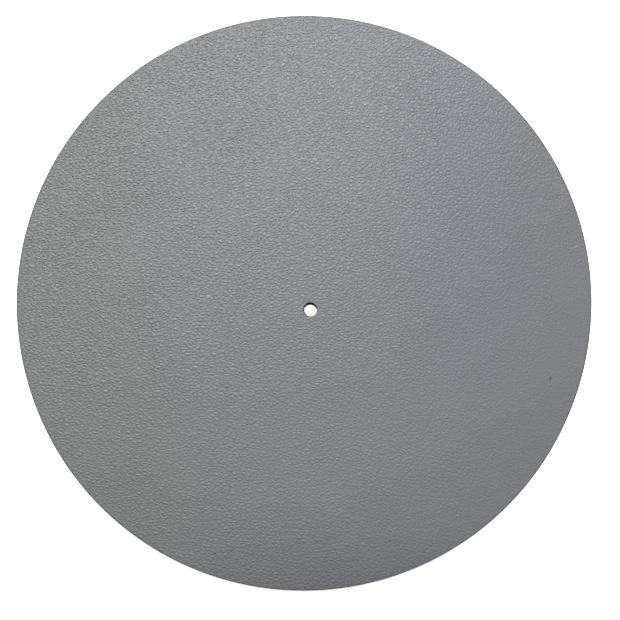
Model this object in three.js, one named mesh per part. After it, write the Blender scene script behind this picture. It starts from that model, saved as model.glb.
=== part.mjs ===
// A leather mat for a record player's platter: one flat disc of grained hide, cut from one sheet, with a hole
// for the spindle. Millimetres, +Z up. The flesh side lies on Z = 0 and the origin is on the spindle's axis.
import * as THREE from "three";

const MAT_DIAMETER = 300;
const SPINDLE_DIAMETER = 7.2;
const SPINDLE_CLEARANCE = 0.05;
const HIDE_THICKNESS = 2;

// The knife draws the grain side down a little as it cuts, and leaves the flesh side nearly sharp.
const RIM_GRAIN_RADIUS = 0.55;
const RIM_FLESH_RADIUS = 0.2;
const HOLE_GRAIN_RADIUS = 0.4;
const HOLE_FLESH_RADIUS = 0.15;
// The part of the cut wall that always stays straight, however thin the hide is.
const STRAIGHT_WALL_SHARE = 0.2;

const STEPS_ROUND = 160;
const STEPS_PER_EDGE = 2;

const HIDE_COLOUR = "#898b8e";
const HIDE_ROUGHNESS = 0.62;

// The two edge radii of one cut wall, each no larger than its share of the hide's thickness allows.
function edgeRadii(grainRadius, fleshRadius) {
  const room = HIDE_THICKNESS * (1 - STRAIGHT_WALL_SHARE);
  const share = Math.min(1, room / (grainRadius + fleshRadius));
  return { grain: grainRadius * share, flesh: fleshRadius * share };
}

// Half of the mat's section, as a closed outline with X away from the axis and Y up, wound anticlockwise.
function matSection() {
  const rim = MAT_DIAMETER / 2;
  const hole = SPINDLE_DIAMETER / 2 + SPINDLE_CLEARANCE;
  const rimEdge = edgeRadii(RIM_GRAIN_RADIUS, RIM_FLESH_RADIUS);
  const holeEdge = edgeRadii(HOLE_GRAIN_RADIUS, HOLE_FLESH_RADIUS);
  const quarter = Math.PI / 2;
  const outline = new THREE.Path();
  outline.moveTo(hole + holeEdge.flesh, 0);
  outline.lineTo(rim - rimEdge.flesh, 0);
  outline.absarc(rim - rimEdge.flesh, rimEdge.flesh, rimEdge.flesh, -quarter, 0);
  outline.lineTo(rim, HIDE_THICKNESS - rimEdge.grain);
  outline.absarc(rim - rimEdge.grain, HIDE_THICKNESS - rimEdge.grain, rimEdge.grain, 0, quarter);
  outline.lineTo(hole + holeEdge.grain, HIDE_THICKNESS);
  outline.absarc(hole + holeEdge.grain, HIDE_THICKNESS - holeEdge.grain, holeEdge.grain, quarter, 2 * quarter);
  outline.lineTo(hole, holeEdge.flesh);
  outline.absarc(hole + holeEdge.flesh, holeEdge.flesh, holeEdge.flesh, 2 * quarter, 3 * quarter);
  outline.closePath();
  return outline.getPoints(STEPS_PER_EDGE);
}

function platterMat() {
  const leather = new THREE.MeshStandardMaterial({
    color: HIDE_COLOUR,
    roughness: HIDE_ROUGHNESS,
    metalness: 0,
  });
  const mat = new THREE.Mesh(new THREE.LatheGeometry(matSection(), STEPS_ROUND), leather);
  mat.name = "platter_mat";
  mat.rotation.x = Math.PI / 2;
  return mat;
}

const group = new THREE.Group();
group.add(platterMat());

export default group;
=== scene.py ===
"""Dresses the leather mat of a record player's platter, and lights it on a plain pale floor.

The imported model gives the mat's box and its spindle hole. Geometry Nodes cut the visible mat to them, as
rings of faces round the hole, and press the hide's grain into its upper side. Three finishes dress it: the
pigmented grain side, the dyed cut edge and the suede flesh side. Lengths are in metres, and the fields for
angles in degrees.
"""

import logging
import math
from collections.abc import Iterable, Iterator
from dataclasses import dataclass
from enum import Enum
from typing import Any, TypeAlias

import bpy
from mathutils import Matrix, Vector


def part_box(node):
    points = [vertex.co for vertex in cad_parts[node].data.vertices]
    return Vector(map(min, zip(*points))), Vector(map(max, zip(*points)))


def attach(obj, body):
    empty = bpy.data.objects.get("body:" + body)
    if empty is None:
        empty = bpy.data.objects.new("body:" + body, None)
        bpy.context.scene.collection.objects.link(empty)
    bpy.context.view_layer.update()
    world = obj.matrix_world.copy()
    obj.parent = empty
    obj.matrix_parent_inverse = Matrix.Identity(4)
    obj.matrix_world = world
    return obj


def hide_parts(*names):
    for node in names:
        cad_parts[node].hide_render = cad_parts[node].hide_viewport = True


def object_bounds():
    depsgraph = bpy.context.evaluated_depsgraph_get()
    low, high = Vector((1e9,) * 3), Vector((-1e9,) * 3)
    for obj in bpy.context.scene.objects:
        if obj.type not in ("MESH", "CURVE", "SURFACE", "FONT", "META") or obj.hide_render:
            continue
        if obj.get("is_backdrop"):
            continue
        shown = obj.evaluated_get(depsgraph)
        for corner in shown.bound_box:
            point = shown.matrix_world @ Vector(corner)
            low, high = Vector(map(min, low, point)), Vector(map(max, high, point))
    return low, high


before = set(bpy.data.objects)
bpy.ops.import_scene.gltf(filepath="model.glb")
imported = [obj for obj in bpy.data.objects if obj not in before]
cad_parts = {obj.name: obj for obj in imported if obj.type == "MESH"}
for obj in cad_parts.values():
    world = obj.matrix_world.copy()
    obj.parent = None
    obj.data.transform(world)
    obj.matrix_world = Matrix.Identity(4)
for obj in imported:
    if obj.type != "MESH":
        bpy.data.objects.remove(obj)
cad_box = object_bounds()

NODE = "platter_mat"
BODY = "root"
MM = 0.001

# Ring numbers are whole, so a comparison of them is set half a ring away from both.
HALF_RING = 0.5

Pair: TypeAlias = tuple[float, float]
Triple: TypeAlias = tuple[float, float, float]
Term: TypeAlias = "Signal | float | Triple"

log = logging.getLogger("platter_mat")


class Signal:
    """One output of a node. Python's operators on it add the Math or Vector Math nodes that they need."""

    def __init__(self, board: "Board", socket: bpy.types.NodeSocket) -> None:
        """Wraps an output.

        Args:
            board: the tree that the output belongs to.
            socket: the output.
        """
        self.board = board
        self.socket = socket

    @property
    def is_wide(self) -> bool:
        """Whether it carries a vector or a colour and not one number."""
        return self.socket.type in {"VECTOR", "RGBA"}

    def __add__(self, other: Term) -> "Signal":
        """Adds."""
        return self.board.work("ADD", self, other)

    __radd__ = __add__

    def __sub__(self, other: Term) -> "Signal":
        """Takes away."""
        return self.board.work("SUBTRACT", self, other)

    def __rsub__(self, other: Term) -> "Signal":
        """Is taken away from a number."""
        return self.board.work("SUBTRACT", other, self)

    def __mul__(self, other: Term) -> "Signal":
        """Multiplies."""
        return self.board.work("MULTIPLY", self, other)

    __rmul__ = __mul__

    def __truediv__(self, other: Term) -> "Signal":
        """Divides."""
        return self.board.work("DIVIDE", self, other)


class Board:
    """A shader or geometry node tree while it is wired."""

    def __init__(self, tree: bpy.types.NodeTree) -> None:
        """Starts with a tree, emptied.

        Args:
            tree: the tree to wire.
        """
        self.tree = tree
        self.tree.nodes.clear()

    def make(
        self,
        kind: str,
        settings: dict[str, Any] | None = None,
        sockets: dict[int | str, Any] | None = None,
        output: int | str = 0,
    ) -> Signal:
        """Adds a node.

        Args:
            kind: the node's type.
            settings: its properties, set before its sockets. captures is what a Capture Attribute holds.
            sockets: what each input, by name, identifier or place, gets: a value, or Signals to link.
            output: the output to give back.

        Returns:
            That output, or the node's first input where it has no output.
        """
        node = self.tree.nodes.new(kind)
        for name, value in (settings or {}).items():
            if name == "captures":
                for label, data_type in value.items():
                    node.capture_items.new(data_type, label)
            else:
                setattr(node, name, value)
        for key, value in (sockets or {}).items():
            self._feed(self._find(node.inputs, key), value)
        return Signal(self, self._find(node.outputs, output) if node.outputs else node.inputs[0])

    @staticmethod
    def _find(sockets: Any, key: int | str) -> bpy.types.NodeSocket:
        """Finds a socket.

        Args:
            sockets: a node's inputs or outputs.
            key: the socket's place, identifier or name.

        Returns:
            The socket, and of several with one name the one that is in use.
        """
        if isinstance(key, int):
            return sockets[key]
        named = [s for s in sockets if s.identifier == key] or [s for s in sockets if s.name == key]
        return next((s for s in named if s.enabled), named[0])

    def _feed(self, socket: bpy.types.NodeSocket, value: Any) -> None:
        """Links an input or sets its value.

        Args:
            socket: the input.
            value: a Signal or a list of them to link, or else the value.
        """
        for part in value if isinstance(value, list) else [value]:
            if isinstance(part, Signal):
                self.tree.links.new(part.socket, socket)
            elif socket.type == "RGBA" and len(part) == 3:
                socket.default_value = (*part, 1.0)
            else:
                socket.default_value = part

    @staticmethod
    def _any_wide(terms: Iterable[Term]) -> bool:
        """Whether any term is a vector or a colour."""
        return any(isinstance(t, tuple) or isinstance(t, Signal) and t.is_wide for t in terms)

    def work(self, operation: str, *terms: Term) -> Signal:
        """Works out one operation, with Vector Math if a term is a vector or colour and else with Math.

        Args:
            operation: the node's operation.
            terms: its inputs, in order.

        Returns:
            The result.
        """
        wide = self._any_wide(terms)
        if wide:
            terms = tuple((t, t, t) if isinstance(t, float | int) else t for t in terms)
        kind = "ShaderNodeVectorMath" if wide else "ShaderNodeMath"
        return self.make(kind, {"operation": operation}, dict(enumerate(terms)))

    def measure(self, operation: str, *terms: Term) -> Signal:
        """Works out a vector operation that gives one number, such as a length or a dot product."""
        return Signal(self, self.work(operation, *terms).socket.node.outputs["Value"])

    def ramp(self, value: Signal, low: float, high: float, smooth: bool = True) -> Signal:
        """Runs from 0 to 1 and stays there.

        Args:
            value: what the ramp follows.
            low: the value at which it leaves 0.
            high: the value at which it reaches 1, which may be below low.
            smooth: whether it starts and ends gently.

        Returns:
            The ramp's height.
        """
        settings = {"interpolation_type": "SMOOTHSTEP" if smooth else "LINEAR", "clamp": True}
        if low > high:
            return 1.0 - self.ramp(value, high, low, smooth)
        sockets = {"Value": value, "From Min": low, "From Max": high}
        return self.make("ShaderNodeMapRange", settings, sockets)

    def blend(self, share: Signal, first: Term, second: Term) -> Signal:
        """Mixes two numbers, or two colours.

        Args:
            share: how much of the second there is, from 0 to 1.
            first: the number or colour where share is 0.
            second: the number or colour where share is 1.

        Returns:
            The mixture.
        """
        if self._any_wide((first, second)):
            sockets = {"Factor_Float": share, "A_Color": first, "B_Color": second}
            return self.make("ShaderNodeMix", {"data_type": "RGBA"}, sockets, "Result_Color")
        sockets = {"Factor_Float": share, "A_Float": first, "B_Float": second}
        return self.make("ShaderNodeMix", {"data_type": "FLOAT"}, sockets, "Result_Float")

    def noise(self, place: Signal, size: float, detail: float = 1.0, output: str = "Fac") -> Signal:
        """Soft noise from 0 to 1, with lumps of about the given size."""
        sockets = {"Vector": place, "Scale": 1.0 / size, "Detail": detail, "Roughness": 0.5}
        return self.make("ShaderNodeTexNoise", {"noise_dimensions": "3D"}, sockets, output)

    def blots(self, place: Signal, size: float, span: Pair) -> Signal:
        """Soft blots of about the given size, where noise between the span's ends runs from 0 to 1."""
        return self.ramp(self.noise(place, size), *span)

    def drift(self, place: Signal, size: float, reach: float, detail: float = 1.0) -> Signal:
        """A soft wandering step, up to reach each way, with lumps of about the given size."""
        return (self.noise(place, size, detail, "Color") - (0.5, 0.5, 0.5)) * (2.0 * reach)

    def cells(self, place: Signal, size: float, feature: str) -> Signal:
        """A flat Voronoi pattern.

        Args:
            place: the point in it.
            size: its pitch.
            feature: the distance that is wanted, to the cell's own point or to its edge.

        Returns:
            The distance, in shares of the pitch.
        """
        settings = {"voronoi_dimensions": "2D", "feature": feature}
        sockets = {"Vector": place, "Scale": 1.0 / size}
        return self.make("ShaderNodeTexVoronoi", settings, sockets, "Distance")

    def coat(self, sockets: dict[str, Any]) -> None:
        """Ends a material's tree in a Principled shader with the given inputs."""
        skin = self.make("ShaderNodeBsdfPrincipled", {}, sockets)
        self.make("ShaderNodeOutputMaterial", {}, {"Surface": skin})


@dataclass(frozen=True)
class PebbleGrain:
    """The relief of the hide's grain side: pebbles parted by creases, finer wrinkles and a slow swell.

    The pebbles are longer along the hide's back, which lies along X, and longest at the left. They are
    finest at the upper left, and fullest over the left half. Towards the lower right they grow coarser and
    flatter, until only thin creases are left, and their rows bend downwards.

    A field that ends in way is a direction, and one that ends in span gives where a ramp starts and ends.
    A strength is given at the start and the end of its ramp. The two changes are what a metre to the
    right, or towards the top, adds to the pattern's stretch.
    """

    pebble: float = 1.93 * MM
    pebble_depth: float = 0.37 * MM
    full_shoulder: float = 0.52
    flat_shoulder: float = 0.30
    crease_size: float = 2.6 * MM
    crease_span: Pair = (0.30, 0.60)
    shallow_crease: float = 0.75
    stretch: Triple = (0.90, 1.05, 1.0)
    change_across: Triple = (0.25, -1.00, 0.0)
    change_along: Triple = (0.50, 0.25, 0.0)
    row_lean: Triple = (0.0, 0.045, 0.0)
    row_bend: Triple = (0.0, 1.15, 0.0)
    wander: float = 1.3 * MM
    wander_size: float = 3.2 * MM
    full_way: Triple = (-1.0, 0.05, 0.0)
    full_span: Pair = (-0.165, 0.035)
    patch_size: float = 7.0 * MM
    patch_span: Pair = (0.35, 0.65)
    patch_strength: Pair = (0.12, 0.31)
    upper_way: Triple = (-0.26, 0.97, 0.0)
    upper_span: Pair = (-0.046, 0.104)
    upper_strength: Pair = (0.635, 1.125)
    slow_size: float = 35.0 * MM
    slow_strength: Pair = (0.75, 1.25)
    wrinkle: float = 0.95 * MM
    wrinkle_depth: float = 0.09 * MM
    wrinkle_shoulder: float = 0.35
    wrinkle_wander: float = 0.4 * MM
    wrinkle_wander_size: float = 1.5 * MM
    swell: float = 7.0 * MM
    swell_depth: float = 0.03 * MM
    swell_span: Pair = (0.2, 0.8)
    pore: float = 0.5 * MM
    pore_depth: float = 0.008 * MM
    pressed_depth: float = 0.04 * MM

    def fullness(self, board: Board, place: Signal) -> Signal:
        """How full the pebbles are, from 0 at the right edge of the hide to 1 over its left half."""
        leftness = board.measure("DOT_PRODUCT", place, self.full_way)
        return board.ramp(leftness, *self.full_span, smooth=False)

    def strength(self, board: Board, place: Signal) -> Signal:
        """How deep the grain is: deepest towards the top, and shallow in patches to the right.

        Args:
            board: the tree.
            place: the point on the mat, from its axis.

        Returns:
            A factor on the depth of the pebbles and wrinkles.
        """
        patchy = board.blend(board.blots(place, self.patch_size, self.patch_span), *self.patch_strength)
        depth = board.blend(self.fullness(board, place), patchy, 1.0)
        height = board.measure("DOT_PRODUCT", place, self.upper_way)
        upper = board.blend(board.ramp(height, *self.upper_span, smooth=False), *self.upper_strength)
        slow = board.blend(board.noise(place, self.slow_size), *self.slow_strength)
        return depth * upper * slow

    def laid(self, board: Board, place: Signal) -> Signal:
        """Lays the grain's even pattern over the stretched hide.

        Args:
            board: the tree.
            place: the point on the mat, from its axis.

        Returns:
            The point of the even pattern that comes to lie there.
        """
        across = board.measure("DOT_PRODUCT", place, (1.0, 0.0, 0.0))
        along = board.measure("DOT_PRODUCT", place, (0.0, 1.0, 0.0))
        right = board.work("MAXIMUM", across, 0.0)
        stretch = across * self.change_across + along * self.change_along + self.stretch
        return place * stretch + across * self.row_lean + right * right * self.row_bend

    def pebbles(self, board: Board, place: Signal) -> Signal:
        """The pebbles alone.

        Args:
            board: the tree.
            place: the point on the mat, from its axis.

        Returns:
            Their height, from 0 in the deepest crease to 1 on a crown.
        """
        wandered = self.laid(board, place) + board.drift(place, self.wander_size, self.wander)
        edge = board.cells(wandered, self.pebble, "DISTANCE_TO_EDGE")
        shoulder = board.blend(self.fullness(board, place), self.flat_shoulder, self.full_shoulder)
        crown = board.ramp(edge / shoulder, 0.0, 1.0)
        open_crease = board.blots(place, self.crease_size, self.crease_span)
        return 1.0 - (1.0 - crown) * board.blend(open_crease, self.shallow_crease, 1.0)

    def pressed(self, board: Board, place: Signal) -> Signal:
        """The relief that the mesh itself carries: the swell, and a share of the pebbles.

        Args:
            board: the geometry tree.
            place: the point on the mat, from its axis.

        Returns:
            The depth under the hide's highest plane.
        """
        swell = board.blots(place, self.swell, self.swell_span) * self.swell_depth
        pebbles = (1.0 - self.pebbles(board, place)) * self.pressed_depth
        return self.swell_depth - swell + pebbles * self.strength(board, place)

    def fine(self, board: Board, place: Signal) -> Signal:
        """The relief that only shading can carry, as a height.

        Args:
            board: the shader tree.
            place: the point on the mat, from its axis.

        Returns:
            The height, to be fed to a Bump node with a distance of one metre.
        """
        pebbles = self.pebbles(board, place) * (self.pebble_depth - self.pressed_depth)
        drift = board.drift(place, self.wrinkle_wander_size, self.wrinkle_wander, detail=0.0)
        edge = board.cells(self.laid(board, place) + drift, self.wrinkle, "DISTANCE_TO_EDGE")
        wrinkles = board.ramp(edge, 0.0, self.wrinkle_shoulder) * self.wrinkle_depth
        pores = board.noise(place, self.pore) * self.pore_depth
        strength = self.strength(board, place)
        return (pebbles + wrinkles * strength) * strength + pores


def object_place(board: Board) -> Signal:
    """The point being shaded, from the mat's axis, in metres."""
    return board.make("ShaderNodeTexCoord", output="Object")


def new_board(name: str) -> tuple[bpy.types.Material, Board]:
    """Starts a material.

    Args:
        name: the material's name.

    Returns:
        The material and its tree.
    """
    material = bpy.data.materials.new(name)
    material.use_nodes = True
    return material, Board(material.node_tree)


def bumped(board: Board, height: Signal) -> Signal:
    """The normal that a height in metres gives."""
    return board.make("ShaderNodeBump", {}, {"Height": height, "Distance": 1.0, "Strength": 1.0}, "Normal")


def even(step: float) -> Triple:
    """A colour or a tint that is the same in red, green and blue."""
    return (step, step, step)


@dataclass(frozen=True)
class Patch:
    """A part of the hide with a tone laid over it: a paler or darker area, a painted sheen, a speck or a
    scuff.
    """

    place: Pair
    half: Pair
    tint: Triple
    turn: float = 0.0
    core: float = 0.0

    def tone(self, board: Board, place: Signal) -> Signal:
        """What the patch adds to the hide's tone.

        Args:
            board: the shader tree.
            place: the point on the mat, from its axis.

        Returns:
            The tint in full within the patch's core, and fading to nothing at its outline.
        """
        sockets = {
            "Vector": place,
            "Location": (*self.place, 0.0),
            "Rotation": (0.0, 0.0, math.radians(self.turn)),
            "Scale": (*self.half, 1.0),
        }
        within = board.make("ShaderNodeMapping", {"vector_type": "TEXTURE"}, sockets)
        return board.ramp(board.measure("LENGTH", within), 1.0, self.core) * self.tint


# A painted sheen, two slow darker areas, two dark specks, a pale crease, and a pale ring spot with a dark
# core.
PATCHES = (
    # Painted sheen: the upper middle is made paler and bluer.
    Patch(place=(0.001, 0.044), half=(0.156, 0.248), tint=(0.203, 0.218, 0.236)),
    Patch(place=(0.011, -0.172), half=(0.192, 0.080), tint=(-0.278, -0.320, -0.278)),
    Patch(place=(0.014, 0.008), half=(0.275, 0.139), tint=even(-0.184), turn=40.0),
    Patch(place=(0.12812, -0.03680), half=(0.0009, 0.0014), tint=even(-0.42), core=0.4),
    Patch(place=(-0.05039, -0.12860), half=(0.0011, 0.0005), tint=even(-0.46), turn=20.0, core=0.4),
    Patch(place=(0.14052, 0.03316), half=(0.0034, 0.0005), tint=even(0.32), turn=24.0, core=0.2),
    Patch(place=(0.13265, 0.06275), half=(0.0014, 0.0014), tint=even(0.36), core=0.5),
    Patch(place=(0.13265, 0.06275), half=(0.0007, 0.0007), tint=even(-0.62), core=0.2),
)


@dataclass(frozen=True)
class GrainFinish:
    """The upper side: grey pigment over pebbled grain, with a soft semi-matt top coat."""

    grain: PebbleGrain
    hole: float
    rim: float
    left_colour: Triple = (0.229, 0.237, 0.239)
    # Painted shade and a painted cool cast of light: the right side's colour is darker and bluer.
    right_shaded_colour: Triple = (0.199, 0.209, 0.227)
    colour_reach: float = 0.12
    patches: tuple[Patch, ...] = PATCHES
    mottle: float = 0.05
    mottle_size: float = 28.0 * MM
    # The speckle is partly the pigment's own and partly painted glints on the pebbles.
    speckle: float = 1.20 * MM
    speckle_stretch: Triple = (0.65, 1.10, 1.0)
    speckle_reach: float = 0.5
    painted_glint_tint: float = 0.27
    # Painted highlight: the pebbles' crowns are made paler.
    painted_crown_highlight_span: Pair = (0.55, 1.0)
    painted_crown_highlight_tint: float = 0.10
    grained_shade: float = 0.085
    # Dark dye from the cut edges; at the rim it also serves as painted shade along the rolled edge.
    dye_and_rim_shade_reach: float = 1.20 * MM
    dye_and_rim_shade_depth: float = 0.43
    crown_roughness: float = 0.47
    crease_roughness: float = 0.60
    gloss: float = 0.37

    def build(self) -> bpy.types.Material:
        """Makes the material.

        Returns:
            The material.
        """
        material, board = new_board("grained_leather")
        place = object_place(board)
        pebbles = self.grain.pebbles(board, place)
        across = board.make("ShaderNodeSeparateXYZ", {}, {0: place}, "X")
        # Painted shade and a painted cool cast: the colour turns darker and bluer towards the right.
        side = board.ramp(across, -self.colour_reach, self.colour_reach)
        colour = board.blend(side, self.left_colour, self.right_shaded_colour)
        mottle = 1.0 + (board.noise(place, self.mottle_size, detail=2.0) - 0.5) * (2.0 * self.mottle)
        # Pale speckle in the pigment, which also stands in as painted glints on the pebbles.
        glint_dots = board.cells(place * self.speckle_stretch, self.speckle, "F1")
        speckle = board.ramp(glint_dots, self.speckle_reach, 0.0, smooth=False) * self.painted_glint_tint
        # Painted highlight on the pebbles' crowns.
        painted_crown_highlight = board.ramp(pebbles, *self.painted_crown_highlight_span) * self.painted_crown_highlight_tint
        strength = self.grain.strength(board, place)
        # Where the hide is flat, its tones, painted glints and highlight among them, fade faster than its
        # relief.
        tone = mottle + (speckle + painted_crown_highlight - self.grained_shade) * strength * strength
        for patch in self.patches:
            tone = tone + patch.tone(board, place)
        # The dark dye line at the rim and round the hole, which at the rim is also painted shade.
        colour = colour * tone * (1.0 - self._dye_and_rim_shade(board, place) * self.dye_and_rim_shade_depth)
        sockets = {
            "Base Color": colour,
            "Roughness": board.blend(pebbles, self.crease_roughness, self.crown_roughness),
            "Specular IOR Level": self.gloss,
            "Normal": bumped(board, self.grain.fine(board, place)),
        }
        board.coat(sockets)
        return material

    def _dye_and_rim_shade(self, board: Board, place: Signal) -> Signal:
        """How much of the cut edge's dark dye has run onto the grain side, at the rim and round the hole.
        At the rim it is made deep enough to be painted shade along the rolled edge too.

        Args:
            board: the shader tree.
            place: the point on the mat, from its axis.

        Returns:
            The dye's strength, from 0 to 1.
        """
        away = board.measure("LENGTH", place)
        outside = board.ramp(away, self.rim - self.dye_and_rim_shade_reach, self.rim, smooth=False)
        return outside + board.ramp(away, self.hole + self.dye_and_rim_shade_reach, self.hole)


@dataclass(frozen=True)
class EdgeFinish:
    """The knife's cut through the hide: dark dyed fibres in thin layers."""

    colour: Triple = (0.018, 0.0185, 0.020)
    pale_fibre: Triple = (0.050, 0.051, 0.054)
    layer: float = 0.25 * MM
    layer_scale: Triple = (1.0, 1.0, 3.0)
    pale_span: Pair = (0.45, 0.75)
    fibre: float = 0.12 * MM
    fibre_depth: float = 0.05 * MM
    roughness: float = 0.85
    gloss: float = 0.05

    def build(self) -> bpy.types.Material:
        """Makes the material.

        Returns:
            The material.
        """
        material, board = new_board("cut_leather_edge")
        place = object_place(board)
        fibres = board.noise(place * self.layer_scale, self.layer, detail=3.0)
        fuzz = board.noise(place, self.fibre, detail=2.0)
        sockets = {
            "Base Color": board.blend(board.ramp(fibres, *self.pale_span), self.colour, self.pale_fibre),
            "Roughness": self.roughness,
            "Specular IOR Level": self.gloss,
            "Normal": bumped(board, (fibres + fuzz) * self.fibre_depth),
        }
        board.coat(sockets)
        return material


@dataclass(frozen=True)
class FleshFinish:
    """The underside: a short suede nap, paler than the grain side and brushed one way."""

    colour: Triple = (0.175, 0.176, 0.178)
    brushed: Triple = (0.215, 0.216, 0.219)
    brushed_span: Pair = (0.8, 1.2)
    stroke: float = 30.0 * MM
    nap: float = 0.35 * MM
    nap_scale: Triple = (1.0, 0.35, 1.0)
    nap_depth: float = 0.07 * MM
    roughness: float = 0.95
    gloss: float = 0.10

    def build(self) -> bpy.types.Material:
        """Makes the material.

        Returns:
            The material.
        """
        material, board = new_board("suede_flesh_side")
        place = object_place(board)
        nap = board.noise(place * self.nap_scale, self.nap, detail=3.0)
        lying = nap + board.noise(place, self.stroke, detail=2.0)
        sockets = {
            "Base Color": board.blend(board.ramp(lying, *self.brushed_span), self.colour, self.brushed),
            "Roughness": self.roughness,
            "Specular IOR Level": self.gloss,
            "Normal": bumped(board, nap * self.nap_depth),
        }
        board.coat(sockets)
        return material


class Side(Enum):
    """The three skins of the cut hide, by the name of the tree's input for their material."""

    GRAIN = "Grain Side"
    EDGE = "Cut Edge"
    FLESH = "Flesh Side"


@dataclass(frozen=True)
class Rings:
    """How many rings of faces each stretch of the mat's section gets, and where stretches begin and end.

    The rings are numbered outwards, from the hole's underside over the top to the rim's underside.
    """

    innermost: int = 6
    guard: int = 1
    flesh_roll: int = 2
    hole_wall: int = 2
    grain_roll: int = 4
    top: int = 130
    rim_wall: int = 3

    @property
    def stretches(self) -> list[int]:
        """The stretches in order: up the hole, across the top, and down the rim."""
        up = [self.guard, self.flesh_roll, self.hole_wall, self.grain_roll]
        down = [self.grain_roll, self.rim_wall, self.flesh_roll, self.guard]
        return [*up, self.top, *down]

    @property
    def outermost(self) -> int:
        """The number of the last ring, and half as many faces as the grid has along one side."""
        return self.innermost + sum(self.stretches)

    @property
    def wall_foot(self) -> int:
        """The ring where the hole's cut wall begins."""
        return self.innermost + self.guard

    @property
    def grain_start(self) -> int:
        """The ring where the grain side begins, at the top of the hole's wall."""
        return self.wall_foot + self.flesh_roll + self.hole_wall

    @property
    def lean_end(self) -> int:
        """The ring at which the hole's lean and its draw have died out, just onto the grain side."""
        return self.grain_start + 2 * self.grain_roll

    @property
    def grain_end(self) -> int:
        """The ring where the grain side ends, at the top of the rim's wall."""
        return self.grain_start + self.grain_roll + self.top + self.grain_roll

    @property
    def wall_end(self) -> int:
        """The ring where the rim's cut wall ends."""
        return self.grain_end + self.rim_wall + self.flesh_roll


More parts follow.
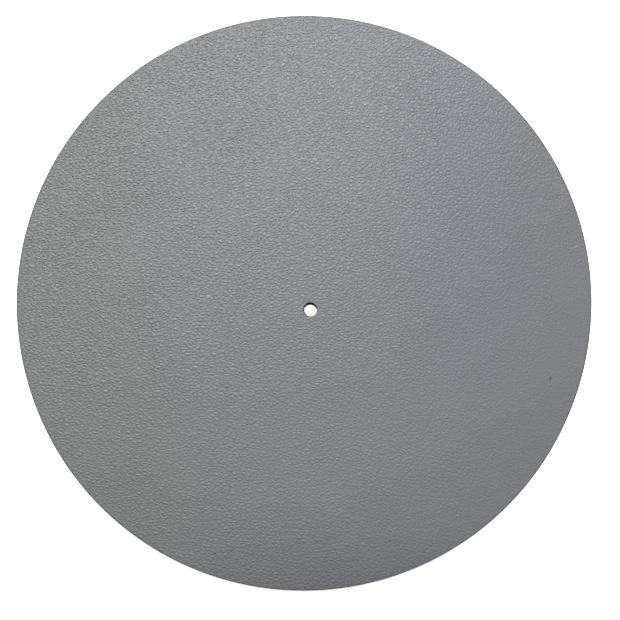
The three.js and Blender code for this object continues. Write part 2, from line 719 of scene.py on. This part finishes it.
@dataclass
class PlatterMat:
    """The mat: one disc of hide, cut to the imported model's rim, spindle hole and thickness.

    The hide has drawn the punched hole in a little along X. The punch leaned as it went through, so the
    foot of the hole's wall lies further to the right. A face whose normal's Z is below flesh_normal is on
    the flesh side. Points closer than weld become one.
    """

    rim: float
    hole: float
    thickness: float
    rim_roll: float = 0.55 * MM
    hole_roll: float = 0.40 * MM
    flesh_roll: float = 0.20 * MM
    hole_draw: float = 0.15 * MM
    hole_lean: float = 0.50 * MM
    guard: float = 0.8 * MM
    flesh_normal: float = -0.95
    weld: float = 0.001 * MM
    rings: Rings = Rings()
    grain: PebbleGrain = PebbleGrain()

    @classmethod
    def from_frame(cls) -> "PlatterMat":
        """Reads the mat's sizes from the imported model.

        Returns:
            The mat.
        """
        low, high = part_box(NODE)
        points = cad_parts[NODE].data.vertices
        hole = min(math.hypot(p.co.x, p.co.y) for p in points)
        return cls(rim=(high[0] - low[0]) / 2, hole=hole, thickness=high[2] - low[2])

    @property
    def lengths(self) -> dict[str, float]:
        """The mat's sizes, by the names of the tree's inputs for them."""
        return {
            "Rim Radius": self.rim,
            "Hole Radius": self.hole,
            "Thickness": self.thickness,
            "Rim Roll": self.rim_roll,
            "Hole Roll": self.hole_roll,
            "Flesh Roll": self.flesh_roll,
            "Hole Draw": self.hole_draw,
            "Hole Lean": self.hole_lean,
            "Guard": self.guard,
        }

    def _walk(self, board: Board, ring: Signal) -> Iterator[Signal]:
        """Walks along the section, one stretch at a time.

        Args:
            board: the geometry tree.
            ring: the ring's number.

        Yields:
            How far along the stretch the ring is, from 0 to 1.
        """
        start = self.rings.innermost
        for count in self.rings.stretches:
            yield board.ramp(ring, start, start + count, smooth=False)
            start += count

    def _section(
        self, board: Board, ring: Signal, size: dict[str, Signal]
    ) -> tuple[Signal, Signal, Signal]:
        """Turns a ring's number into its place on the mat's section.

        Args:
            board: the geometry tree.
            ring: the ring's number.
            size: the tree's inputs by name.

        Returns:
            The ring's radius, its height and how far the grain reaches onto it, from 0 to 1.
        """

        def quarter(share: Signal) -> tuple[Signal, Signal]:
            """The sine, and one less the cosine, of a share of a right angle."""
            angle = share * (math.pi / 2)
            return board.work("SINE", angle), 1.0 - board.work("COSINE", angle)

        walk = self._walk(board, ring)
        radius = size["Hole Radius"] + size["Flesh Roll"] + (1.0 - next(walk)) * size["Guard"]
        sine, drop = quarter(next(walk))
        radius, height = radius - sine * size["Flesh Roll"], drop * size["Flesh Roll"]
        height = height + next(walk) * (size["Thickness"] - size["Flesh Roll"] - size["Hole Roll"])
        rising = next(walk)
        sine, drop = quarter(rising)
        radius, height = radius + drop * size["Hole Roll"], height + sine * size["Hole Roll"]
        span = size["Rim Radius"] - size["Rim Roll"] - size["Hole Radius"] - size["Hole Roll"]
        radius = radius + next(walk) * span
        falling = next(walk)
        sine, drop = quarter(falling)
        radius, height = radius + sine * size["Rim Roll"], height - drop * size["Rim Roll"]
        height = height - next(walk) * (size["Thickness"] - size["Rim Roll"] - size["Flesh Roll"])
        sine, drop = quarter(next(walk))
        radius, height = radius - drop * size["Flesh Roll"], height - sine * size["Flesh Roll"]
        radius = radius - next(walk) * size["Guard"]
        return radius, height, rising * (1.0 - falling)

    @staticmethod
    def _compass(board: Board, across: Signal, along: Signal) -> Signal:
        """Turns a square ring into a round one, with its points evenly spaced.

        Args:
            board: the geometry tree.
            across: the point's place along X on the square.
            along: the point's place along Y on the square.

        Returns:
            The point's angle on the round ring.
        """
        eighth = math.pi / 4
        wide = board.work("ABSOLUTE", across)
        tall = board.work("ABSOLUTE", along)
        beside = along / across * eighth + board.work("LESS_THAN", across, 0.0) * math.pi
        ahead = 2.0 * eighth - across / along * eighth + board.work("LESS_THAN", along, 0.0) * math.pi
        return board.blend(board.work("GREATER_THAN", wide, tall - HALF_RING), ahead, beside)

    @staticmethod
    def _between(board: Board, ring: Signal, start: int, end: int) -> Signal:
        """One for the rings from start to end, and else nothing."""
        return board.work("GREATER_THAN", ring, float(start)) * board.work("LESS_THAN", ring, float(end))

    def _punched(self, board: Board) -> tuple[Signal, Signal, Signal]:
        """Lays out square rings of faces, and takes out the middle ones.

        Args:
            board: the geometry tree.

        Returns:
            The punched grid, and each point's ring and angle.
        """
        last = self.rings.outermost
        count = 2 * last + 1
        sockets = {"Size X": 2.0 * last, "Size Y": 2.0 * last, "Vertices X": count, "Vertices Y": count}
        grid = board.make("GeometryNodeMeshGrid", {}, sockets, "Mesh")
        corner = board.make("GeometryNodeInputPosition")
        parts = board.make("ShaderNodeSeparateXYZ", {}, {0: corner}).socket.node.outputs
        across, along = Signal(board, parts["X"]), Signal(board, parts["Y"])
        ring = board.work("MAXIMUM", board.work("ABSOLUTE", across), board.work("ABSOLUTE", along))
        sockets = {"Geometry": grid, "Ring": ring, "Turn": self._compass(board, across, along)}
        captures = {"Ring": "FLOAT", "Turn": "FLOAT"}
        held = board.make("GeometryNodeCaptureAttribute", {"captures": captures}, sockets)
        ring, turn = (Signal(board, held.socket.node.outputs[name]) for name in captures)
        inside = board.work("LESS_THAN", ring, self.rings.innermost - HALF_RING)
        sockets = {"Geometry": held, "Selection": inside}
        return board.make("GeometryNodeDeleteGeometry", {"domain": "POINT"}, sockets), ring, turn

    def _spot(self, board: Board, ring: Signal, turn: Signal, size: dict[str, Signal]) -> Signal:
        """Finds where a point of the mat lies.

        Args:
            board: the geometry tree.
            ring: the point's ring.
            turn: the point's angle.
            size: the tree's inputs by name.

        Returns:
            Its place, with the grain pressed in.
        """
        radius, height, grained = self._section(board, ring, size)
        near = board.ramp(ring, self.rings.lean_end, self.rings.grain_start)
        lean = (1.0 - height / size["Thickness"]) * size["Hole Lean"] * near
        drawn = radius - near * size["Hole Draw"]
        parts = {"X": drawn * board.work("COSINE", turn) + lean, "Y": radius * board.work("SINE", turn)}
        place = board.make("ShaderNodeCombineXYZ", {}, parts)
        parts["Z"] = height - self.grain.pressed(board, place) * grained
        return board.make("ShaderNodeCombineXYZ", {}, parts)

    def _closed(self, board: Board, skin: Signal) -> Signal:
        """Closes the underside, between the skin's two outlines.

        An edge is on an outline where it has fewer than two faces.

        Args:
            board: the geometry tree.
            skin: the hole's wall, the top and the rim.

        Returns:
            The whole mat, one closed and smooth mesh.
        """
        faces = board.make("GeometryNodeInputMeshEdgeNeighbors", {}, {}, "Face Count")
        open_edge = board.work("LESS_THAN", faces, 2.0)
        outlines = board.make("GeometryNodeMeshToCurve", {}, {"Mesh": skin, "Selection": open_edge})
        under = board.make("GeometryNodeFillCurve", {"mode": "TRIANGLES"}, {"Curve": outlines})
        under = board.make("GeometryNodeFlipFaces", {}, {"Mesh": under})
        whole = board.make("GeometryNodeJoinGeometry", {}, {"Geometry": [skin, under]})
        whole = board.make("GeometryNodeMergeByDistance", {}, {"Geometry": whole, "Distance": self.weld})
        whole = board.make("GeometryNodeSetShadeSmooth", {}, {"Geometry": whole})
        return board.make("GeometryNodeRealizeInstances", {}, {"Geometry": whole})

    def _finished(self, board: Board, whole: Signal, ring: Signal, skins: dict[Side, Signal]) -> Signal:
        """Gives each side of the mat its material.

        Args:
            board: the geometry tree.
            whole: the mat's mesh.
            ring: the number of a point's ring.
            skins: the tree's input for each side's material.

        Returns:
            The finished mat.
        """
        upness = board.make("ShaderNodeSeparateXYZ", {}, {0: board.make("GeometryNodeInputNormal")}, "Z")
        shown = board.work("GREATER_THAN", upness, self.flesh_normal)
        spans = {
            Side.FLESH: 1.0 - shown,
            Side.EDGE: shown * self._between(board, ring, self.rings.wall_foot, self.rings.wall_end),
            Side.GRAIN: shown * self._between(board, ring, self.rings.grain_start, self.rings.grain_end),
        }
        for side, chosen in spans.items():
            sockets = {"Geometry": whole, "Selection": chosen, "Material": skins[side]}
            whole = board.make("GeometryNodeSetMaterial", {}, sockets)
        return whole

    def _tree(self) -> bpy.types.NodeTree:
        """Builds the tree that cuts the hide and presses its grain.

        Returns:
            The geometry tree.
        """
        tree = bpy.data.node_groups.new("cut_hide", "GeometryNodeTree")
        tree.interface.new_socket("Geometry", in_out="INPUT", socket_type="NodeSocketGeometry")
        for name in self.lengths:
            tree.interface.new_socket(name, in_out="INPUT", socket_type="NodeSocketFloat")
        for side in Side:
            tree.interface.new_socket(side.value, in_out="INPUT", socket_type="NodeSocketMaterial")
        tree.interface.new_socket("Geometry", in_out="OUTPUT", socket_type="NodeSocketGeometry")
        board = Board(tree)
        given = board.make("NodeGroupInput").socket.node.outputs
        size = {name: Signal(board, given[name]) for name in self.lengths}
        skins = {side: Signal(board, given[side.value]) for side in Side}
        punched, ring, turn = self._punched(board)
        sockets = {"Geometry": punched, "Position": self._spot(board, ring, turn, size)}
        whole = self._closed(board, board.make("GeometryNodeSetPosition", {}, sockets))
        board.make("NodeGroupOutput", {}, {"Geometry": self._finished(board, whole, ring, skins)})
        return tree

    def cut(self, finishes: dict[Side, bpy.types.Material]) -> bpy.types.Object:
        """Cuts the mat and turns it into a plain mesh.

        Args:
            finishes: the material of each side.

        Returns:
            The finished piece.
        """
        tree = self._tree()
        given = self.lengths | {side.value: material for side, material in finishes.items()}
        blank = bpy.data.objects.new("hide_blank", bpy.data.meshes.new("hide_blank"))
        bpy.context.scene.collection.objects.link(blank)
        modifier = blank.modifiers.new("cut_hide", "NODES")
        modifier.node_group = tree
        for item in tree.interface.items_tree:
            if item.in_out == "INPUT" and item.name in given:
                modifier[item.identifier] = given[item.name]
        evaluated = blank.evaluated_get(bpy.context.evaluated_depsgraph_get())
        mesh = bpy.data.meshes.new_from_object(evaluated)
        mesh.name = "platter_mat_leather"
        blank.modifiers.remove(modifier)
        bpy.data.objects.remove(blank)
        piece = bpy.data.objects.new("platter_mat_leather", mesh)
        bpy.context.scene.collection.objects.link(piece)
        return piece

    def dress(self) -> bpy.types.Object:
        """Makes the finishes, cuts the mat, attaches it to its body and hides the imported part.

        Returns:
            The finished piece.
        """
        finishes = {
            Side.GRAIN: GrainFinish(self.grain, self.hole, self.rim).build(),
            Side.EDGE: EdgeFinish().build(),
            Side.FLESH: FleshFinish().build(),
        }
        piece = self.cut(finishes)
        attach(piece, BODY)
        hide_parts(NODE)
        across = 2 * self.rim
        area = math.pi * (self.rim**2 - self.hole**2)
        return piece


@dataclass(frozen=True)
class Lamp:
    """A round soft lamp, aimed at the mat's middle."""

    name: str
    place: Triple
    width: float
    level: float
    colour: Triple

    def hang(self) -> None:
        """Hangs the lamp. Its level is how bright it makes a white card that lies in the middle."""
        data = bpy.data.lights.new(self.name, "AREA")
        data.shape = "DISK"
        data.size = self.width
        data.color = self.colour
        way = Vector(self.place)
        steepness = way.normalized().z
        data.energy = self.level * math.pi**2 * way.length_squared / steepness
        lamp = bpy.data.objects.new(self.name, data)
        lamp.location = way
        lamp.rotation_euler = way.to_track_quat("Z", "Y").to_euler()
        bpy.context.scene.collection.objects.link(lamp)


@dataclass(frozen=True)
class Studio:
    """The plain floor, the light and the camera."""

    key: Lamp = Lamp("key_lamp", (-0.05, 0.60, 0.86), 0.10, 1.012, (1.0, 0.995, 0.98))
    sky_level: float = 0.008
    sky_colour: Triple = (0.93, 0.97, 1.0)
    floor_side: float = 6.0
    floor_depth: float = 0.02 * MM
    floor_colour: float = 0.97
    lift_span: Pair = (0.01, 0.14)
    near_lift: float = 0.80
    far_lift: float = 1.0
    far_span: Pair = (0.4, 1.2)
    camera_distance: float = 0.36
    camera_tilt: float = 4.26
    camera_compass: float = 133.0
    camera_lens: float = 40.14
    camera_aim: Triple = (-0.115 * MM, -0.155 * MM, 2.0 * MM)

    @staticmethod
    def _seen(board: Board) -> Signal:
        """Tells the rays that see the background itself, in a mirror or through glass too, from light.

        Args:
            board: the shader tree.

        Returns:
            One for such a ray, and else nothing.
        """
        rays = board.make("ShaderNodeLightPath").socket.node.outputs
        names = ("Is Camera Ray", "Is Glossy Ray", "Is Transmission Ray")
        camera, glossy, through = (Signal(board, rays[name]) for name in names)
        return board.work("MAXIMUM", board.work("MAXIMUM", camera, glossy), through)

    def lay_floor(self) -> None:
        """Lays the pale floor just under the mat.

        The floor is lifted towards white for the eye, but not in the mat's hole. Near the mat the lift
        leaves room for its shadow. Far away it is full, so that no horizon shows.
        """
        half = self.floor_side / 2
        corners = [(-half, -half), (half, -half), (half, half), (-half, half)]
        mesh = bpy.data.meshes.new("floor")
        mesh.from_pydata([(x, y, -self.floor_depth) for x, y in corners], [], [(0, 1, 2, 3)])
        floor = bpy.data.objects.new("floor", mesh)
        material, board = new_board("pale_floor")
        away = board.measure("LENGTH", object_place(board))
        lift = board.blend(board.ramp(away, *self.far_span), self.near_lift, self.far_lift)
        lift = lift * board.ramp(away, *self.lift_span)
        sockets = {
            "Base Color": even(self.floor_colour),
            "Roughness": 1.0,
            "Specular IOR Level": 0.0,
            "Emission Color": (1.0, 1.0, 1.0) * (self._seen(board) * lift),
            "Emission Strength": 1.0,
        }
        board.coat(sockets)
        mesh.materials.append(material)
        bpy.context.scene.collection.objects.link(floor)
        floor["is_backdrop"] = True

    def light(self) -> None:
        """Hangs the lamp, and sets a faint even sky that looks white to the eye."""
        self.key.hang()
        world = bpy.data.worlds.new("studio")
        world.use_nodes = True
        board = Board(world.node_tree)
        sockets = {"Color": self.sky_colour, "Strength": self.sky_level}
        faint = board.make("ShaderNodeBackground", {}, sockets)
        white = board.make("ShaderNodeBackground", {}, {"Color": (1.0, 1.0, 1.0), "Strength": 1.0})
        sky = board.make("ShaderNodeMixShader", {}, {0: self._seen(board), 1: faint, 2: white})
        board.make("ShaderNodeOutputWorld", {}, {"Surface": sky})
        bpy.context.scene.world = world

    def set_camera(self) -> None:
        """Sets the camera over the mat, leaning to the upper left, with the picture's top towards +Y."""
        lean, compass = math.radians(self.camera_tilt), math.radians(self.camera_compass)
        level = math.sin(lean)
        back = Vector((level * math.cos(compass), level * math.sin(compass), math.cos(lean)))
        right = Vector((0.0, 1.0, 0.0)).cross(back).normalized()
        up = back.cross(right)
        data = bpy.data.cameras.new("camera")
        data.lens = self.camera_lens
        camera = bpy.data.objects.new("camera", data)
        place = Vector(self.camera_aim) + back * self.camera_distance
        camera.matrix_world = Matrix.Translation(place) @ Matrix((right, up, back)).transposed().to_4x4()
        bpy.context.scene.collection.objects.link(camera)
        bpy.context.scene.camera = camera


def main() -> None:
    """Builds the studio and the mat."""
    logging.basicConfig(level=logging.INFO, format="%(name)s: %(message)s")
    bpy.context.scene.view_settings.view_transform = "Standard"
    studio = Studio()
    studio.set_camera()
    studio.lay_floor()
    studio.light()
    piece = PlatterMat.from_frame().dress()
    log.info("%s: %d faces", piece.name, len(piece.data.polygons))
    boxes = {"cad": cad_box, "visual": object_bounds()}
    {name: [list(corner) for corner in box] for name, box in boxes.items()}


if __name__ == "__main__":
    main()
